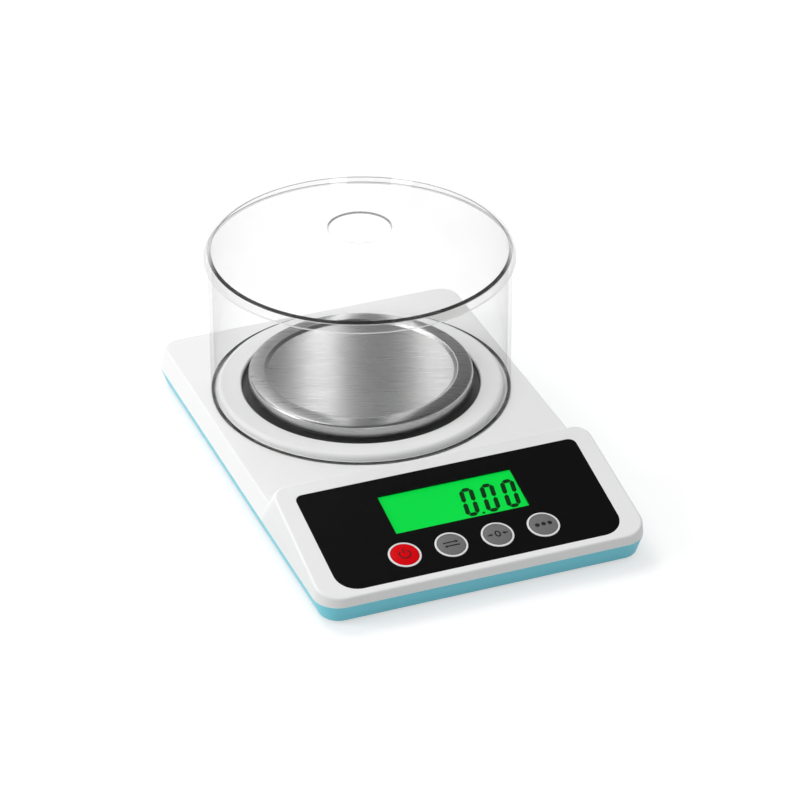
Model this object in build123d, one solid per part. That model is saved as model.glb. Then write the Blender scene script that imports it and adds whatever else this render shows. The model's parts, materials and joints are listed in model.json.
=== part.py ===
from build123d import *
import math
import os

# Precision balance with a round draft shield, in millimetres.
# +X is right as the user sees it, +Y is away from the user, +Z is up.
# The origin is on the table, under the middle of the body.

# Body outline at the parting line of the two housings, as margins round the shield
SHIELD_SIDE_GAP = 8.5
SHIELD_FRONT_GAP = 8.7
SHIELD_BACK_GAP = 6.3
CORNER_R = 13.0
WALL = 2.4

# Heights of the body, from the table up
FOOT_GAP = 1.8
TRAY_H = 9.75
UPPER_H = 9.95
TRAY_INSET = 3.2
PLATE_INSET = 3.55
TRAY_EDGE_R = 1.2
PLATE_EDGE_R = 0.9

# Tilted console at the front
CONSOLE_TILT = 12.86
CONSOLE_LIP_H = 4.7
CONSOLE_REAR_RUN = 9.6
CONSOLE_DRAFT = 5.0
CONSOLE_REAR_CORNER_R = 8.0
CONSOLE_EDGE_R = 1.3

# Raised ring that locates the shield, and the well that the pan sits in
PLATEAU_LAND = 12.25
PLATEAU_H = 3.5
PLATEAU_EDGE_R = 2.4
WELL_GAP = 3.75
WELL_EDGE_R = 1.2
WELL_DEPTH = 4.0
WELL_RIB_COUNT = 8

# Weighing pan
PAN_R = 58.0
PAN_SHEET = 0.8
PAN_TOP_OVER_PLATE = 11.0
PAN_SKIRT_H = 7.3
PAN_RIM_RISE = 0.6
PAN_EDGE_R = 1.1
PAN_HEM_R = 0.65
PAN_RING_W = 8.0
PAN_STEP_W = 2.0
PAN_STEP_EDGE_R = 0.5
PAN_RECESS = 1.2

# Draft shield and its lid
SHIELD_CLEAR = 1.4
SHIELD_WALL = 2.0
SHIELD_H = 82.0
LID_SKIRT_T = 1.6
LID_SKIRT_H = 5.2
LID_SKIRT_GAP = 0.3
LID_T = 2.4
LID_RISE = 9.3
LID_HOLE_R = 15.7
LID_EDGE_R = 1.4

# Control panel, display and buttons, measured along the console's slope
PANEL_SIDE_MARGIN = 11.5
PANEL_FROM_RIDGE = 7.8
PANEL_TO_LIP = 4.6
PANEL_T = 1.0
PANEL_TOP_CORNER_R = 4.0
PANEL_LOW_CORNER_R = 11.5
PANEL_CLEAR = 0.05
WINDOW_W = 70.2
WINDOW_H = 26.7
WINDOW_FROM_PANEL_TOP = 11.4
WINDOW_T = 0.9
WINDOW_CLEAR = 0.05
BUTTON_PITCH = 24.2
BUTTONS_FROM_WINDOW = 14.5
BUTTONS_TO_PANEL_FOOT = 15.2
BUTTON_NAMES = ["power", "mode", "tare", "count"]
RING_R = 8.2
RING_INNER_R = 7.25
RING_PROUD = 0.35
RING_EDGE_R = 0.25
RING_SLEEVE_T = 0.35
CAP_GAP = 0.25
CAP_STEM_R = 2.4
CAP_PROUD = 0.3
CAP_CROWN = 0.5
CAP_FLANGE_OVER = 1.2
CAP_FLANGE_T = 0.7
BUTTON_TRAVEL = 0.8
SLEEVE_CLEAR = 0.05

# Display stack under the control panel, from the panel's underside down
LCD_UNDER_PANEL = 0.1
STACK_GAP = 0.2
LCD_T = 2.4
LCD_MARGIN = 2.6
BACKLIGHT_T = 4.9
FRAME_WALL = 1.4
BOARD_T = 1.6
BOARD_INSET_X = 7.4
BOARD_INSET_Y = 0.9
BOARD_CORNER_R = 2.0
DISPLAY_POST_INSET = 5.5
SWITCH_SIZE = 6.0
SWITCH_H = 3.5
PLUNGER_R = 1.7
PLUNGER_FIT = 0.08
PLUNGER_BORE_DEPTH = 2.2

# Load cell beam, with its free end under the pan's axis
CELL_SIZE = 12.7
CELL_EDGE = 0.4
CELL_FREE_OVERHANG = 10.0
CELL_TO_BACK = 13.7
CELL_BOLT_PITCH = 10.0
CELL_BOLT_FROM_END = 7.0
CELL_BORE_R = 4.6
CELL_BORE_SPREAD = 12.0
CELL_SLOT_H = 3.0
SPACER_T = 1.3
SPACER_L = 24.0
SPACER_W = 20.0
GAUGE_T = 0.8
GAUGE_L = 22.0
GAUGE_W = 9.0
M4_R = 2.0
M4_HEAD_R = 3.5
M4_HEAD_H = 1.6
M4_SINK = 0.2
M4_LENGTH = 12.0
SCREW_FIT = 0.05
SCREW_END_GAP = 1.0
SCREW_TIP = 0.4
STOP_GAP = 0.35

# Pan support
HUB_R = 13.0
HUB_GAP = 4.0
HUB_TOP_OVER_WELL = 3.4
ARM_T = 3.6
ARM_W = 11.0
ARM_INSIDE_STEP = 12.0
ARM_TIP_R = 8.0
ARM_RING_W = 6.0
PAD_R = 6.0
PAD_ROUND = 0.6

# Battery bay for four cells side by side, opening downwards
CELL_COUNT = 4
AA_R = 7.0
AA_L = 50.0
AA_PITCH = 14.6
AA_EDGE_R = 0.5
AA_NUB_R = 2.7
AA_NUB_H = 1.4
BAY_FRONT_FROM_RIDGE = 6.0
BAY_END_ROOM = 3.0
BAY_SIDE_ROOM = 0.4
BAY_WALL = 1.5
BAY_ROOF_T = 1.1
BAY_TOP_GAP = 0.2
CONTACT_T = 0.5
CONTACT_W = 11.0
CONTACT_H = 11.0
CONTACT_CONE_R = 3.2
CONTACT_TIP_R = 2.1
CONTACT_GAP = 0.2
DOOR_T = 1.5
DOOR_LEDGE = 3.2
DOOR_GAP = 0.15
DOOR_TRAVEL = 6.0
DOOR_TAB_L = 5.0
DOOR_TAB_T = 0.6
DOOR_TAB_REACH = 1.5
DOOR_TAB_FROM_END = 12.0
GRIP_COUNT = 4
GRIP_PITCH = 2.6
GRIP_GROOVE_W = 1.3
GRIP_GROOVE_L = 26.0
GRIP_DEPTH = 0.6

# Feet, bosses and screws
FOOT_R = 8.0
FOOT_RECESS = 1.1
FOOT_CLEAR = 0.1
FOOT_EDGE = 0.5
FOOT_INSET_X = 20.0
FOOT_INSET_Y = 21.0
BOSS_R = 3.6
BOSS_INSET_X = 14.9
BOSS_INSET_Y = 44.8
BOSS_MIDDLE_Y = -8.0
BOSS_SPLIT_Z = 9.0
M3_R = 1.45
M3_CLEAR_R = 1.7
M3_HEAD_R = 2.9
M3_HEAD_H = 2.0
M3_LENGTH = 9.0
RIB_T = 1.2
RIB_H = 3.0
RIB_END_GAP = 8.0
RIB_FROM_FRONT = [36.0, 71.0]
LIP_T = 1.0
LIP_H = 1.6
LIP_GAP = 0.15

# Power socket in the back wall
SOCKET_X = -45.0
SOCKET_COLLAR_R = 5.0
SOCKET_BORE_R = 2.75
SOCKET_PIN_R = 1.0
SOCKET_PIN_SETBACK = 1.0
SOCKET_DEPTH = 9.0
SOCKET_BODY_W = 9.0
SOCKET_BODY_H = 10.5
SOCKET_BODY_L = 13.5
SOCKET_GAP = 0.15
SOCKET_SETBACK = 1.6

# Converter board beside the load cell
CONVERTER_W = 40.0
CONVERTER_L = 58.0
CONVERTER_TO_SIDE = 18.9
CONVERTER_TO_BACK = 30.7
CONVERTER_POST_H = 3.0
CONVERTER_HOLE_INSET = 4.0
CAN_SIZE = 22.0
CAN_H = 4.0
CAN_CORNER_R = 1.5
CAN_FROM_BOARD_MIDDLE = 9.0
M2_R = 0.95
M2_HEAD_R = 1.9
M2_HEAD_H = 1.2
M2_LENGTH = 4.0
POST_R = 3.0

# Outlines that follow from the pan, the display and the buttons
TILT_SIN = math.sin(math.radians(CONSOLE_TILT))
TILT_COS = math.cos(math.radians(CONSOLE_TILT))
BUTTON_FROM_PANEL_TOP = WINDOW_FROM_PANEL_TOP + WINDOW_H + BUTTONS_FROM_WINDOW
PANEL_H = BUTTON_FROM_PANEL_TOP + BUTTONS_TO_PANEL_FOOT
CONSOLE_RUN = (PANEL_FROM_RIDGE + PANEL_H + PANEL_TO_LIP) * TILT_COS
PAN_STEP_R = PAN_R - PAN_RING_W
ARM_REACH = PAN_STEP_R - ARM_INSIDE_STEP
WELL_R = PAN_R + WELL_GAP
WELL_HOLE_R = HUB_R + HUB_GAP
PLATEAU_R = WELL_R + PLATEAU_LAND
SHIELD_R = PLATEAU_R + SHIELD_CLEAR + SHIELD_WALL
LID_R = SHIELD_R + LID_SKIRT_GAP + LID_SKIRT_T
PAN_AXIS_TO_BACK = SHIELD_R + SHIELD_BACK_GAP
BODY_W = 2 * (SHIELD_R + SHIELD_SIDE_GAP)
BODY_L = CONSOLE_RUN + CONSOLE_REAR_RUN + SHIELD_FRONT_GAP + SHIELD_R + PAN_AXIS_TO_BACK
PANEL_W = BODY_W - 2 * PANEL_SIDE_MARGIN
DISPLAY_BOARD_W = PANEL_W - 2 * BOARD_INSET_X
DISPLAY_BOARD_H = PANEL_H - 2 * BOARD_INSET_Y
CELL_L = CELL_FREE_OVERHANG + PAN_AXIS_TO_BACK - CELL_TO_BACK
CONVERTER_X = BODY_W / 2 - CONVERTER_TO_SIDE - CONVERTER_W / 2

# Levels and stations that follow from the sizes above
TRAY_BOTTOM_Z = FOOT_GAP
FLOOR_Z = TRAY_BOTTOM_Z + WALL
PARTING_Z = TRAY_BOTTOM_Z + TRAY_H
PLATE_Z = PARTING_Z + UPPER_H
CEILING_Z = PLATE_Z - WALL
PLATEAU_Z = PLATE_Z + PLATEAU_H
WELL_FLOOR_Z = PLATEAU_Z - WELL_DEPTH
PAN_Y = BODY_L / 2 - PAN_AXIS_TO_BACK
PAN_TOP_Z = PLATE_Z + PAN_TOP_OVER_PLATE
PAN_REST_Z = PAN_TOP_Z - PAN_RECESS - PAN_SHEET
TRAY_DRAFT = math.degrees(math.atan2(TRAY_INSET, TRAY_H))
PLATE_DRAFT = math.degrees(math.atan2(PLATE_INSET, UPPER_H))
FRONT_Y = -BODY_L / 2
RIDGE_Y = FRONT_Y + CONSOLE_RUN
RIDGE_Z = PARTING_Z + CONSOLE_LIP_H + CONSOLE_RUN * math.tan(math.radians(CONSOLE_TILT))
CELL_Z = FLOOR_Z + SPACER_T
CELL_FRONT_Y = PAN_Y - CELL_FREE_OVERHANG
CELL_BACK_Y = CELL_FRONT_Y + CELL_L
BAY_W = CELL_COUNT * AA_PITCH + 2 * BAY_SIDE_ROOM
BAY_L = AA_L + 2 * BAY_END_ROOM
BAY_Y = RIDGE_Y + BAY_FRONT_FROM_RIDGE + BAY_L / 2
DOOR_TOP_Z = TRAY_BOTTOM_Z + DOOR_T
AA_Z = DOOR_TOP_Z + DOOR_GAP + AA_R
BAY_TOP_Z = AA_Z + AA_R + BAY_TOP_GAP

# The console's skin: x across, y up the slope from the ridge, z out of the skin
CONSOLE =Plane(origin=(0, RIDGE_Y, RIDGE_Z), x_dir=(1, 0, 0), z_dir=(0, -TILT_SIN, TILT_COS))
PANEL_TOP = -PANEL_FROM_RIDGE
PANEL_MID = PANEL_TOP - PANEL_H / 2
WINDOW_MID = PANEL_TOP - WINDOW_FROM_PANEL_TOP - WINDOW_H / 2
BUTTON_ROW = PANEL_TOP - BUTTON_FROM_PANEL_TOP
SKIN_UNDER = -WALL
LCD_TOP = -PANEL_T - LCD_UNDER_PANEL
BOARD_TOP = LCD_TOP - LCD_T - BACKLIGHT_T
BOARD_MID = PANEL_MID
SWITCH_TOP = BOARD_TOP + SWITCH_H
BUTTON_XS = [(i - (len(BUTTON_NAMES) - 1) / 2) * BUTTON_PITCH for i in range(len(BUTTON_NAMES))]


def save(node, *shapes):
    """Write one node as the separate solids of its shapes."""
    solids = [solid for shape in shapes for solid in shape.solids()]
    export_step(Compound(solids), f"parts/{node}.step")


def cylinder(x, y, z_low, z_high, radius):
    return Pos(x, y, (z_low + z_high) / 2) * Cylinder(radius, z_high - z_low)


def block(x, y, z_low, z_high, width, length):
    return Pos(x, y, (z_low + z_high) / 2) * Box(width, length, z_high - z_low)


def on_console(x, y, z_low, z_high, shape):
    """Extrude a sketch between two levels of the console's own frame."""
    return extrude(CONSOLE * Pos(x, y, z_low) * shape, z_high - z_low, dir=CONSOLE.z_dir)


def spun(points, axis_y=PAN_Y):
    """Turn a closed outline of radius and height points about the upright pan axis."""
    outline = make_face(Plane.XZ * Polyline(*points, close=True))
    return Pos(0, axis_y, 0) * revolve(outline, Axis.Z)


def parting_outline(inset):
    return RectangleRounded(BODY_W - 2 * inset, BODY_L - 2 * inset, CORNER_R - inset)


def mirrored_spots(x, y_list):
    return [(side * x, y) for y in y_list for side in (-1, 1)]


def boss_spots():
    y_front = FRONT_Y + BOSS_INSET_Y
    return mirrored_spots(BODY_W / 2 - BOSS_INSET_X, [y_front, BOSS_MIDDLE_Y, -y_front])


def foot_spots():
    y_front = FRONT_Y + FOOT_INSET_Y
    return mirrored_spots(BODY_W / 2 - FOOT_INSET_X, [y_front, -y_front])


def screw(head_r, head_h, shank_r, length):
    """A screw standing on its head's top, with its shank pointing up."""
    head = cylinder(0, 0, 0, head_h, head_r)
    shank = cylinder(0, 0, head_h, head_h + length, shank_r)
    return chamfer((head + shank).edges().sort_by(Axis.Z)[-1], SCREW_TIP)


def plate_form(inset):
    """The flat plate behind the ridge with its drafted sides, shrunk by a wall thickness."""
    outline = Plane.XY.offset(PARTING_Z) * parting_outline(inset)
    plate = extrude(outline, UPPER_H - inset, taper=PLATE_DRAFT)
    behind = block(0, RIDGE_Y + BODY_L / 2, PARTING_Z, RIDGE_Z, BODY_W, BODY_L)
    return plate & behind


def console_form(inset):
    """The wedge under the control panel, shrunk by a wall thickness."""
    below = PARTING_Z - CORNER_R
    profile = make_face(
        Plane.YZ
        * Polyline(
            (FRONT_Y, below),
            (FRONT_Y, PARTING_Z + CONSOLE_LIP_H),
            (RIDGE_Y, RIDGE_Z),
            (RIDGE_Y + CONSOLE_REAR_RUN, PLATE_Z),
            (RIDGE_Y + CONSOLE_REAR_RUN, below),
            close=True,
        )
    )
    if inset:
        profile = offset(profile, -inset, kind=Kind.INTERSECTION)
    wedge = extrude(profile, BODY_W, both=True)
    sides = extrude(
        Plane.XY.offset(PARTING_Z) * parting_outline(inset),
        RIDGE_Z - PARTING_Z + CORNER_R,
        taper=CONSOLE_DRAFT,
    )
    return wedge & sides


def rear_corner_edges(form):
    """The two upright edges where the console's rear slope meets its sides."""
    return form.edges().filter_by(
        lambda e: RIDGE_Y < e.center().Y < RIDGE_Y + CONSOLE_REAR_RUN
        and abs(e.center().X) > BODY_W / 2 - CORNER_R
        and PLATE_Z < e.center().Z < RIDGE_Z
    )


def skin_edges(form):
    """The edges round the console's tilted skin."""
    skin = form.faces().filter_by(lambda f: f.normal_at().dot(CONSOLE.z_dir) > 0.9999)
    return skin.sort_by(SortBy.AREA)[-1].edges()


def upper_shell():
    console = console_form(0)
    console = fillet(rear_corner_edges(console), CONSOLE_REAR_CORNER_R)
    console = fillet(skin_edges(console), CONSOLE_EDGE_R)
    plate = plate_form(0)
    plate = fillet(plate.faces().sort_by(Axis.Z)[-1].edges(), PLATE_EDGE_R)
    ring = cylinder(0, PAN_Y, PARTING_Z + WALL, PLATEAU_Z, PLATEAU_R)
    ring = fillet(ring.edges().sort_by(Axis.Z)[-1], PLATEAU_EDGE_R)
    shell = plate + console + ring
    shell -= plate_form(WALL) + console_form(WALL)
    return shell


def well_parts():
    """What the pan's well adds under the plate, and what it takes away."""
    adds = cylinder(0, PAN_Y, CEILING_Z, PLATEAU_Z - WELL_EDGE_R * 2, WELL_R + WALL)
    groove_top = PLATEAU_Z - WALL
    groove = cylinder(0, PAN_Y, CEILING_Z - 1, groove_top, PLATEAU_R - WALL)
    groove -= cylinder(0, PAN_Y, CEILING_Z - 1, groove_top, WELL_R + WALL)
    for i in range(WELL_RIB_COUNT):
        turn = Pos(0, PAN_Y, 0) * Rot(0, 0, 360 * i / WELL_RIB_COUNT)
        groove -= turn * block((WELL_R + PLATEAU_R) / 2, 0, CEILING_Z, groove_top, PLATEAU_LAND, RIB_T)
    well =cylinder(0, PAN_Y, WELL_FLOOR_Z, PLATEAU_Z, WELL_R)
    opening = cylinder(0, PAN_Y, PARTING_Z, PLATEAU_Z, WELL_HOLE_R)
    return adds, groove + well + opening


def upper_housing():
    shell = upper_shell()
    adds, cuts = well_parts()
    shell = shell + adds - cuts
    mouth = shell.edges().filter_by(
        lambda e: abs(e.center().Z - PLATEAU_Z) < 0.01 and e.geom_type == GeomType.CIRCLE
    )
    shell = fillet(mouth.sort_by(SortBy.LENGTH)[0], WELL_EDGE_R)

    # Bosses for the housing screws hang from the skin down to the split
    filled = plate_form(WALL / 2) + console_form(WALL / 2)
    for x, y in boss_spots():
        shell += cylinder(x, y, PARTING_Z, RIDGE_Z, BOSS_R) & filled
        shell += cylinder(x, y, BOSS_SPLIT_Z, PARTING_Z + WALL, BOSS_R)
    for x, y in boss_spots():
        shell -= cylinder(x, y, BOSS_SPLIT_Z, FLOOR_Z + M3_LENGTH + SCREW_END_GAP, M3_R + SCREW_FIT)

    # Posts for the display board
    for x, y in display_post_spots():
        shell += on_console(x, y, BOARD_TOP, SKIN_UNDER, Circle(POST_R))
    hole_top = BOARD_TOP - BOARD_T + M2_LENGTH + SCREW_END_GAP
    for x, y in display_post_spots():
        shell -= on_console(x, y, BOARD_TOP, hole_top, Circle(M2_R + SCREW_FIT))

    # Seat of the control panel, aperture for the display and button holes
    shell -= on_console(0, PANEL_MID, -PANEL_T, CONSOLE_EDGE_R, panel_outline(0))
    shell -= on_console(0, WINDOW_MID, SKIN_UNDER, 0, lcd_size(frame_margin() + STACK_GAP))
    for x in BUTTON_XS:
        shell -= on_console(x, BUTTON_ROW, SKIN_UNDER, 0, Circle(sleeve_r() + SLEEVE_CLEAR))
    return shell - socket_opening()


def panel_outline(clearance):
    outline = Rectangle(PANEL_W - 2 * clearance, PANEL_H - 2 * clearance)
    rows = outline.vertices().group_by(Axis.Y)
    outline = fillet(rows[-1], PANEL_TOP_CORNER_R)
    return fillet(outline.vertices().group_by(Axis.Y)[0], PANEL_LOW_CORNER_R)


def sleeve_r():
    """Outer radius of a button ring's sleeve."""
    return RING_INNER_R + RING_SLEEVE_T


def display_post_spots():
    reach_x = DISPLAY_BOARD_W / 2 - DISPLAY_POST_INSET
    reach_y = DISPLAY_BOARD_H / 2 - DISPLAY_POST_INSET
    return mirrored_spots(reach_x, [BOARD_MID - reach_y, BOARD_MID + reach_y])


def front_panel():
    panel = on_console(0, PANEL_MID, -PANEL_T, 0, panel_outline(PANEL_CLEAR))
    panel -= on_console(0, WINDOW_MID, -PANEL_T, 0, Rectangle(WINDOW_W, WINDOW_H))
    for x in BUTTON_XS:
        panel -= on_console(x, BUTTON_ROW, -PANEL_T, 0, Circle(sleeve_r() + SLEEVE_CLEAR))
    return panel


def display_window():
    size = Rectangle(WINDOW_W - 2 * WINDOW_CLEAR, WINDOW_H - 2 * WINDOW_CLEAR)
    return on_console(0, WINDOW_MID, -WINDOW_T, 0, size)


def button_rings():
    rings = []
    for x in BUTTON_XS:
        flange = on_console(x, BUTTON_ROW, 0, RING_PROUD, Circle(RING_R))
        outer_edge = flange.edges().sort_by(lambda e: CONSOLE.to_local_coords(e.center()).Z)[-1]
        flange = fillet(outer_edge, RING_EDGE_R)
        sleeve = on_console(x, BUTTON_ROW, SKIN_UNDER, 0, Circle(sleeve_r()))
        bore = on_console(x, BUTTON_ROW, SKIN_UNDER, RING_PROUD, Circle(RING_INNER_R))
        rings.append(flange + sleeve - bore)
    return rings


def button_cap(x):
    """A crowned cap with a retaining flange under the skin and a stem to the switch."""
    cap_r = RING_INNER_R - CAP_GAP
    flange_top = SKIN_UNDER - CAP_GAP
    flange_low = flange_top - CAP_FLANGE_T
    cap = on_console(x, BUTTON_ROW, flange_low, CAP_PROUD, Circle(cap_r))
    crown_r = (cap_r**2 + CAP_CROWN**2) / (2 * CAP_CROWN)
    crown = CONSOLE * Pos(x, BUTTON_ROW, CAP_PROUD + CAP_CROWN - crown_r) * Sphere(crown_r)
    cap += on_console(x, BUTTON_ROW, CAP_PROUD, CAP_PROUD + CAP_CROWN, Circle(cap_r)) & crown
    cap += on_console(x, BUTTON_ROW, flange_low, flange_top, Circle(cap_r + CAP_FLANGE_OVER))
    cap += on_console(x, BUTTON_ROW, plunger_top(), flange_low, Circle(CAP_STEM_R))
    return cap


def plunger_top():
    """Level at which a cap's stem meets the switch plunger."""
    return SWITCH_TOP + BUTTON_TRAVEL + CAP_GAP


def switch_plunger(x):
    low = SWITCH_TOP - PLUNGER_BORE_DEPTH + BUTTON_TRAVEL + CAP_GAP
    return on_console(x, BUTTON_ROW, low, plunger_top(), Circle(PLUNGER_R))


def tact_switches():
    switches = []
    for x in BUTTON_XS:
        body = on_console(x, BUTTON_ROW, BOARD_TOP, SWITCH_TOP, Rectangle(SWITCH_SIZE, SWITCH_SIZE))
        bore_low = SWITCH_TOP - PLUNGER_BORE_DEPTH
        bore = on_console(x, BUTTON_ROW, bore_low, SWITCH_TOP, Circle(PLUNGER_R + PLUNGER_FIT))
        switches.append(body - bore)
    return switches


def lcd_size(margin):
    return Rectangle(WINDOW_W + 2 * margin, WINDOW_H + 2 * margin)


def frame_margin():
    """How far the display's frame reaches beyond the window."""
    return LCD_MARGIN + STACK_GAP + FRAME_WALL


def lcd_glass():
    return on_console(0, WINDOW_MID, LCD_TOP - LCD_T, LCD_TOP, lcd_size(LCD_MARGIN))


def lcd_backlight():
    return on_console(0, WINDOW_MID, BOARD_TOP, BOARD_TOP + BACKLIGHT_T, lcd_size(LCD_MARGIN))


def lcd_frame():
    frame = on_console(0, WINDOW_MID, BOARD_TOP, LCD_TOP, lcd_size(frame_margin()))
    return frame - on_console(0, WINDOW_MID, BOARD_TOP, LCD_TOP, lcd_size(LCD_MARGIN + STACK_GAP))


def display_board():
    size = RectangleRounded(DISPLAY_BOARD_W, DISPLAY_BOARD_H, BOARD_CORNER_R)
    board = on_console(0, BOARD_MID, BOARD_TOP - BOARD_T, BOARD_TOP, size)
    for x, y in display_post_spots():
        board -= on_console(x, y, BOARD_TOP - BOARD_T, BOARD_TOP, Circle(M2_R + SCREW_FIT))
    return board


def display_board_screws():
    fastener = screw(M2_HEAD_R, M2_HEAD_H, M2_R, M2_LENGTH)
    head_z = BOARD_TOP - BOARD_T - M2_HEAD_H
    return [CONSOLE * Pos(x, y, head_z) * fastener for x, y in display_post_spots()]


def socket_opening():
    """Round hole through the back wall, half in each housing."""
    hole = Cylinder(SOCKET_COLLAR_R + SOCKET_GAP, 4 * WALL)
    return Pos(SOCKET_X, BODY_L / 2, PARTING_Z) * Rot(90, 0, 0) * hole


def dc_socket():
    """Barrel socket: a round collar in the wall on a square body behind it."""
    face_y = BODY_L / 2 - SOCKET_SETBACK
    collar_l = 2 * WALL
    turn = Rot(90, 0, 0)
    collar = Pos(SOCKET_X, face_y - collar_l / 2, PARTING_Z) * turn * Cylinder(SOCKET_COLLAR_R, collar_l)
    body_y = face_y - collar_l - SOCKET_BODY_L / 2
    body_low = PARTING_Z - SOCKET_BODY_H / 2
    body = block(SOCKET_X, body_y, body_low, body_low + SOCKET_BODY_H, SOCKET_BODY_W, SOCKET_BODY_L)
    bore_y = face_y - SOCKET_DEPTH / 2
    bore = Pos(SOCKET_X, bore_y, PARTING_Z) * turn * Cylinder(SOCKET_BORE_R, SOCKET_DEPTH)
    pin_y = bore_y - SOCKET_PIN_SETBACK / 2
    pin = Pos(SOCKET_X, pin_y, PARTING_Z) * turn * Cylinder(SOCKET_PIN_R, SOCKET_DEPTH - SOCKET_PIN_SETBACK)
    return collar + body - bore + pin


def tray_form(inset, depth):
    """The drafted tray under the parting line, shrunk by a wall thickness."""
    outline = Plane.XY.offset(PARTING_Z) * parting_outline(inset)
    return extrude(outline, depth, dir=(0, 0, -1), taper=TRAY_DRAFT)


def tray_shell():
    outer = tray_form(0, TRAY_H)
    outer = fillet(outer.faces().sort_by(Axis.Z)[0].edges(), TRAY_EDGE_R)
    shell = outer - tray_form(WALL, TRAY_H - WALL)
    lip_inset = WALL + LIP_GAP
    lip_outline = Plane.XY.offset(PARTING_Z) * parting_outline(lip_inset)
    lip_inner = Plane.XY.offset(PARTING_Z) * parting_outline(lip_inset + LIP_T)
    lip = extrude(lip_outline, LIP_H, taper=PLATE_DRAFT) - extrude(lip_inner, LIP_H, taper=PLATE_DRAFT)
    root_outline = Plane.XY.offset(PARTING_Z) * parting_outline(WALL / 2)
    root = extrude(root_outline, LIP_T, dir=(0, 0, -1)) - extrude(lip_inner, LIP_T, dir=(0, 0, -1))
    return shell + lip + (root & tray_form(0, TRAY_H))


def tray_ribs():
    """Stiffening ribs along and across the tray's floor."""
    side_x = BAY_W / 2 + BAY_WALL + RIB_T
    rib_top = FLOOR_Z + RIB_H
    along = BODY_L - 2 * (TRAY_INSET + WALL + RIB_END_GAP)
    across = BODY_W - 2 * (TRAY_INSET + WALL + RIB_END_GAP)
    ribs = block(-side_x, 0, FLOOR_Z, rib_top, RIB_T, along)
    ribs += block(side_x, 0, FLOOR_Z, rib_top, RIB_T, along)
    behind_bay = BAY_Y + BAY_L / 2 + BAY_WALL + RIB_T
    for y in [FRONT_Y + inset for inset in RIB_FROM_FRONT] + [behind_bay]:
        ribs += block(0, y, FLOOR_Z, rib_top, across, RIB_T)
    return ribs


def battery_bay():
    """The block that the battery bay is hollowed out of."""
    return block(0, BAY_Y, FLOOR_Z, BAY_TOP_Z + BAY_ROOF_T, BAY_W + 2 * BAY_WALL, BAY_L + 2 * BAY_WALL)


def bay_cavity():
    """The room for the cells, the door's seat, and the pockets that its tabs slide in."""
    cavity = block(0, BAY_Y, TRAY_BOTTOM_Z, BAY_TOP_Z, BAY_W, BAY_L)
    seat_l = BAY_L + 2 * DOOR_LEDGE + DOOR_TRAVEL
    seat_y = BAY_Y - DOOR_TRAVEL / 2
    cavity += block(0, seat_y, TRAY_BOTTOM_Z, DOOR_TOP_Z, BAY_W + 2 * DOOR_LEDGE, seat_l)
    pocket_w = 2 * DOOR_TAB_REACH
    pocket_l = DOOR_TAB_L + 2 * DOOR_GAP
    for x, y in door_tab_spots():
        slide_y = y - DOOR_TRAVEL / 2
        cavity += block(x, slide_y, door_tab_low() - DOOR_GAP, DOOR_TOP_Z, pocket_w, pocket_l + DOOR_TRAVEL)
        way_out_y = y - DOOR_TRAVEL + DOOR_GAP
        cavity += block(x, way_out_y, TRAY_BOTTOM_Z, DOOR_TOP_Z, pocket_w, pocket_l + 2 * DOOR_GAP)
    return cavity


def door_tab_spots():
    """Places of the door's tabs, on the side edges of its seat."""
    reach = BAY_L / 2 - DOOR_TAB_FROM_END
    return mirrored_spots(BAY_W / 2 + DOOR_LEDGE, [BAY_Y - reach, BAY_Y + reach])


def door_tab_low():
    return DOOR_TOP_Z - DOOR_GAP - DOOR_TAB_T


def lower_housing():
    shell = tray_shell() + tray_ribs() + battery_bay()
    for x, y in boss_spots():
        shell += cylinder(x, y, FLOOR_Z, BOSS_SPLIT_Z, BOSS_R)
    for x, y in converter_spots():
        shell += cylinder(x, y, FLOOR_Z, FLOOR_Z + CONVERTER_POST_H, POST_R)
    cradle_top = PARTING_Z - SOCKET_BODY_H / 2
    cradle_y = BODY_L / 2 - SOCKET_SETBACK - 2 * WALL - SOCKET_BODY_L / 2
    shell += block(SOCKET_X, cradle_y, FLOOR_Z, cradle_top, SOCKET_BODY_W, SOCKET_BODY_L)

    shell -= bay_cavity()
    for x, y in boss_spots():
        shell -= cylinder(x, y, TRAY_BOTTOM_Z, BOSS_SPLIT_Z, M3_CLEAR_R)
        shell -= cylinder(x, y, TRAY_BOTTOM_Z, FLOOR_Z, M3_HEAD_R + 2 * SCREW_FIT)
    for x, y in converter_spots():
        shell -= cylinder(x, y, FLOOR_Z, FLOOR_Z + CONVERTER_POST_H, M2_R + SCREW_FIT)
    for x, y in foot_spots():
        shell -= cylinder(x, y, TRAY_BOTTOM_Z, TRAY_BOTTOM_Z + FOOT_RECESS, FOOT_R)
    sink_top = TRAY_BOTTOM_Z + M4_SINK + M4_HEAD_H
    for x, y in cell_bolt_spots(CELL_BACK_Y, -1):
        shell -= cylinder(x, y, TRAY_BOTTOM_Z, FLOOR_Z, M4_R + 2 * SCREW_FIT)
        shell -= cylinder(x, y, TRAY_BOTTOM_Z, sink_top, M4_HEAD_R + 2 * SCREW_FIT)
    shell -= cylinder(0, PAN_Y, TRAY_BOTTOM_Z, FLOOR_Z, M4_R + SCREW_FIT)
    return shell - socket_opening()


def rubber_feet():
    feet = []
    for x, y in foot_spots():
        foot = cylinder(x, y, 0, TRAY_BOTTOM_Z + FOOT_RECESS, FOOT_R - FOOT_CLEAR)
        feet.append(chamfer(foot.edges().sort_by(Axis.Z)[0], FOOT_EDGE))
    return feet


def housing_screws():
    fastener = screw(M3_HEAD_R, M3_HEAD_H, M3_R, M3_LENGTH)
    return [Pos(x, y, FLOOR_Z - M3_HEAD_H) * fastener for x, y in boss_spots()]


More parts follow.
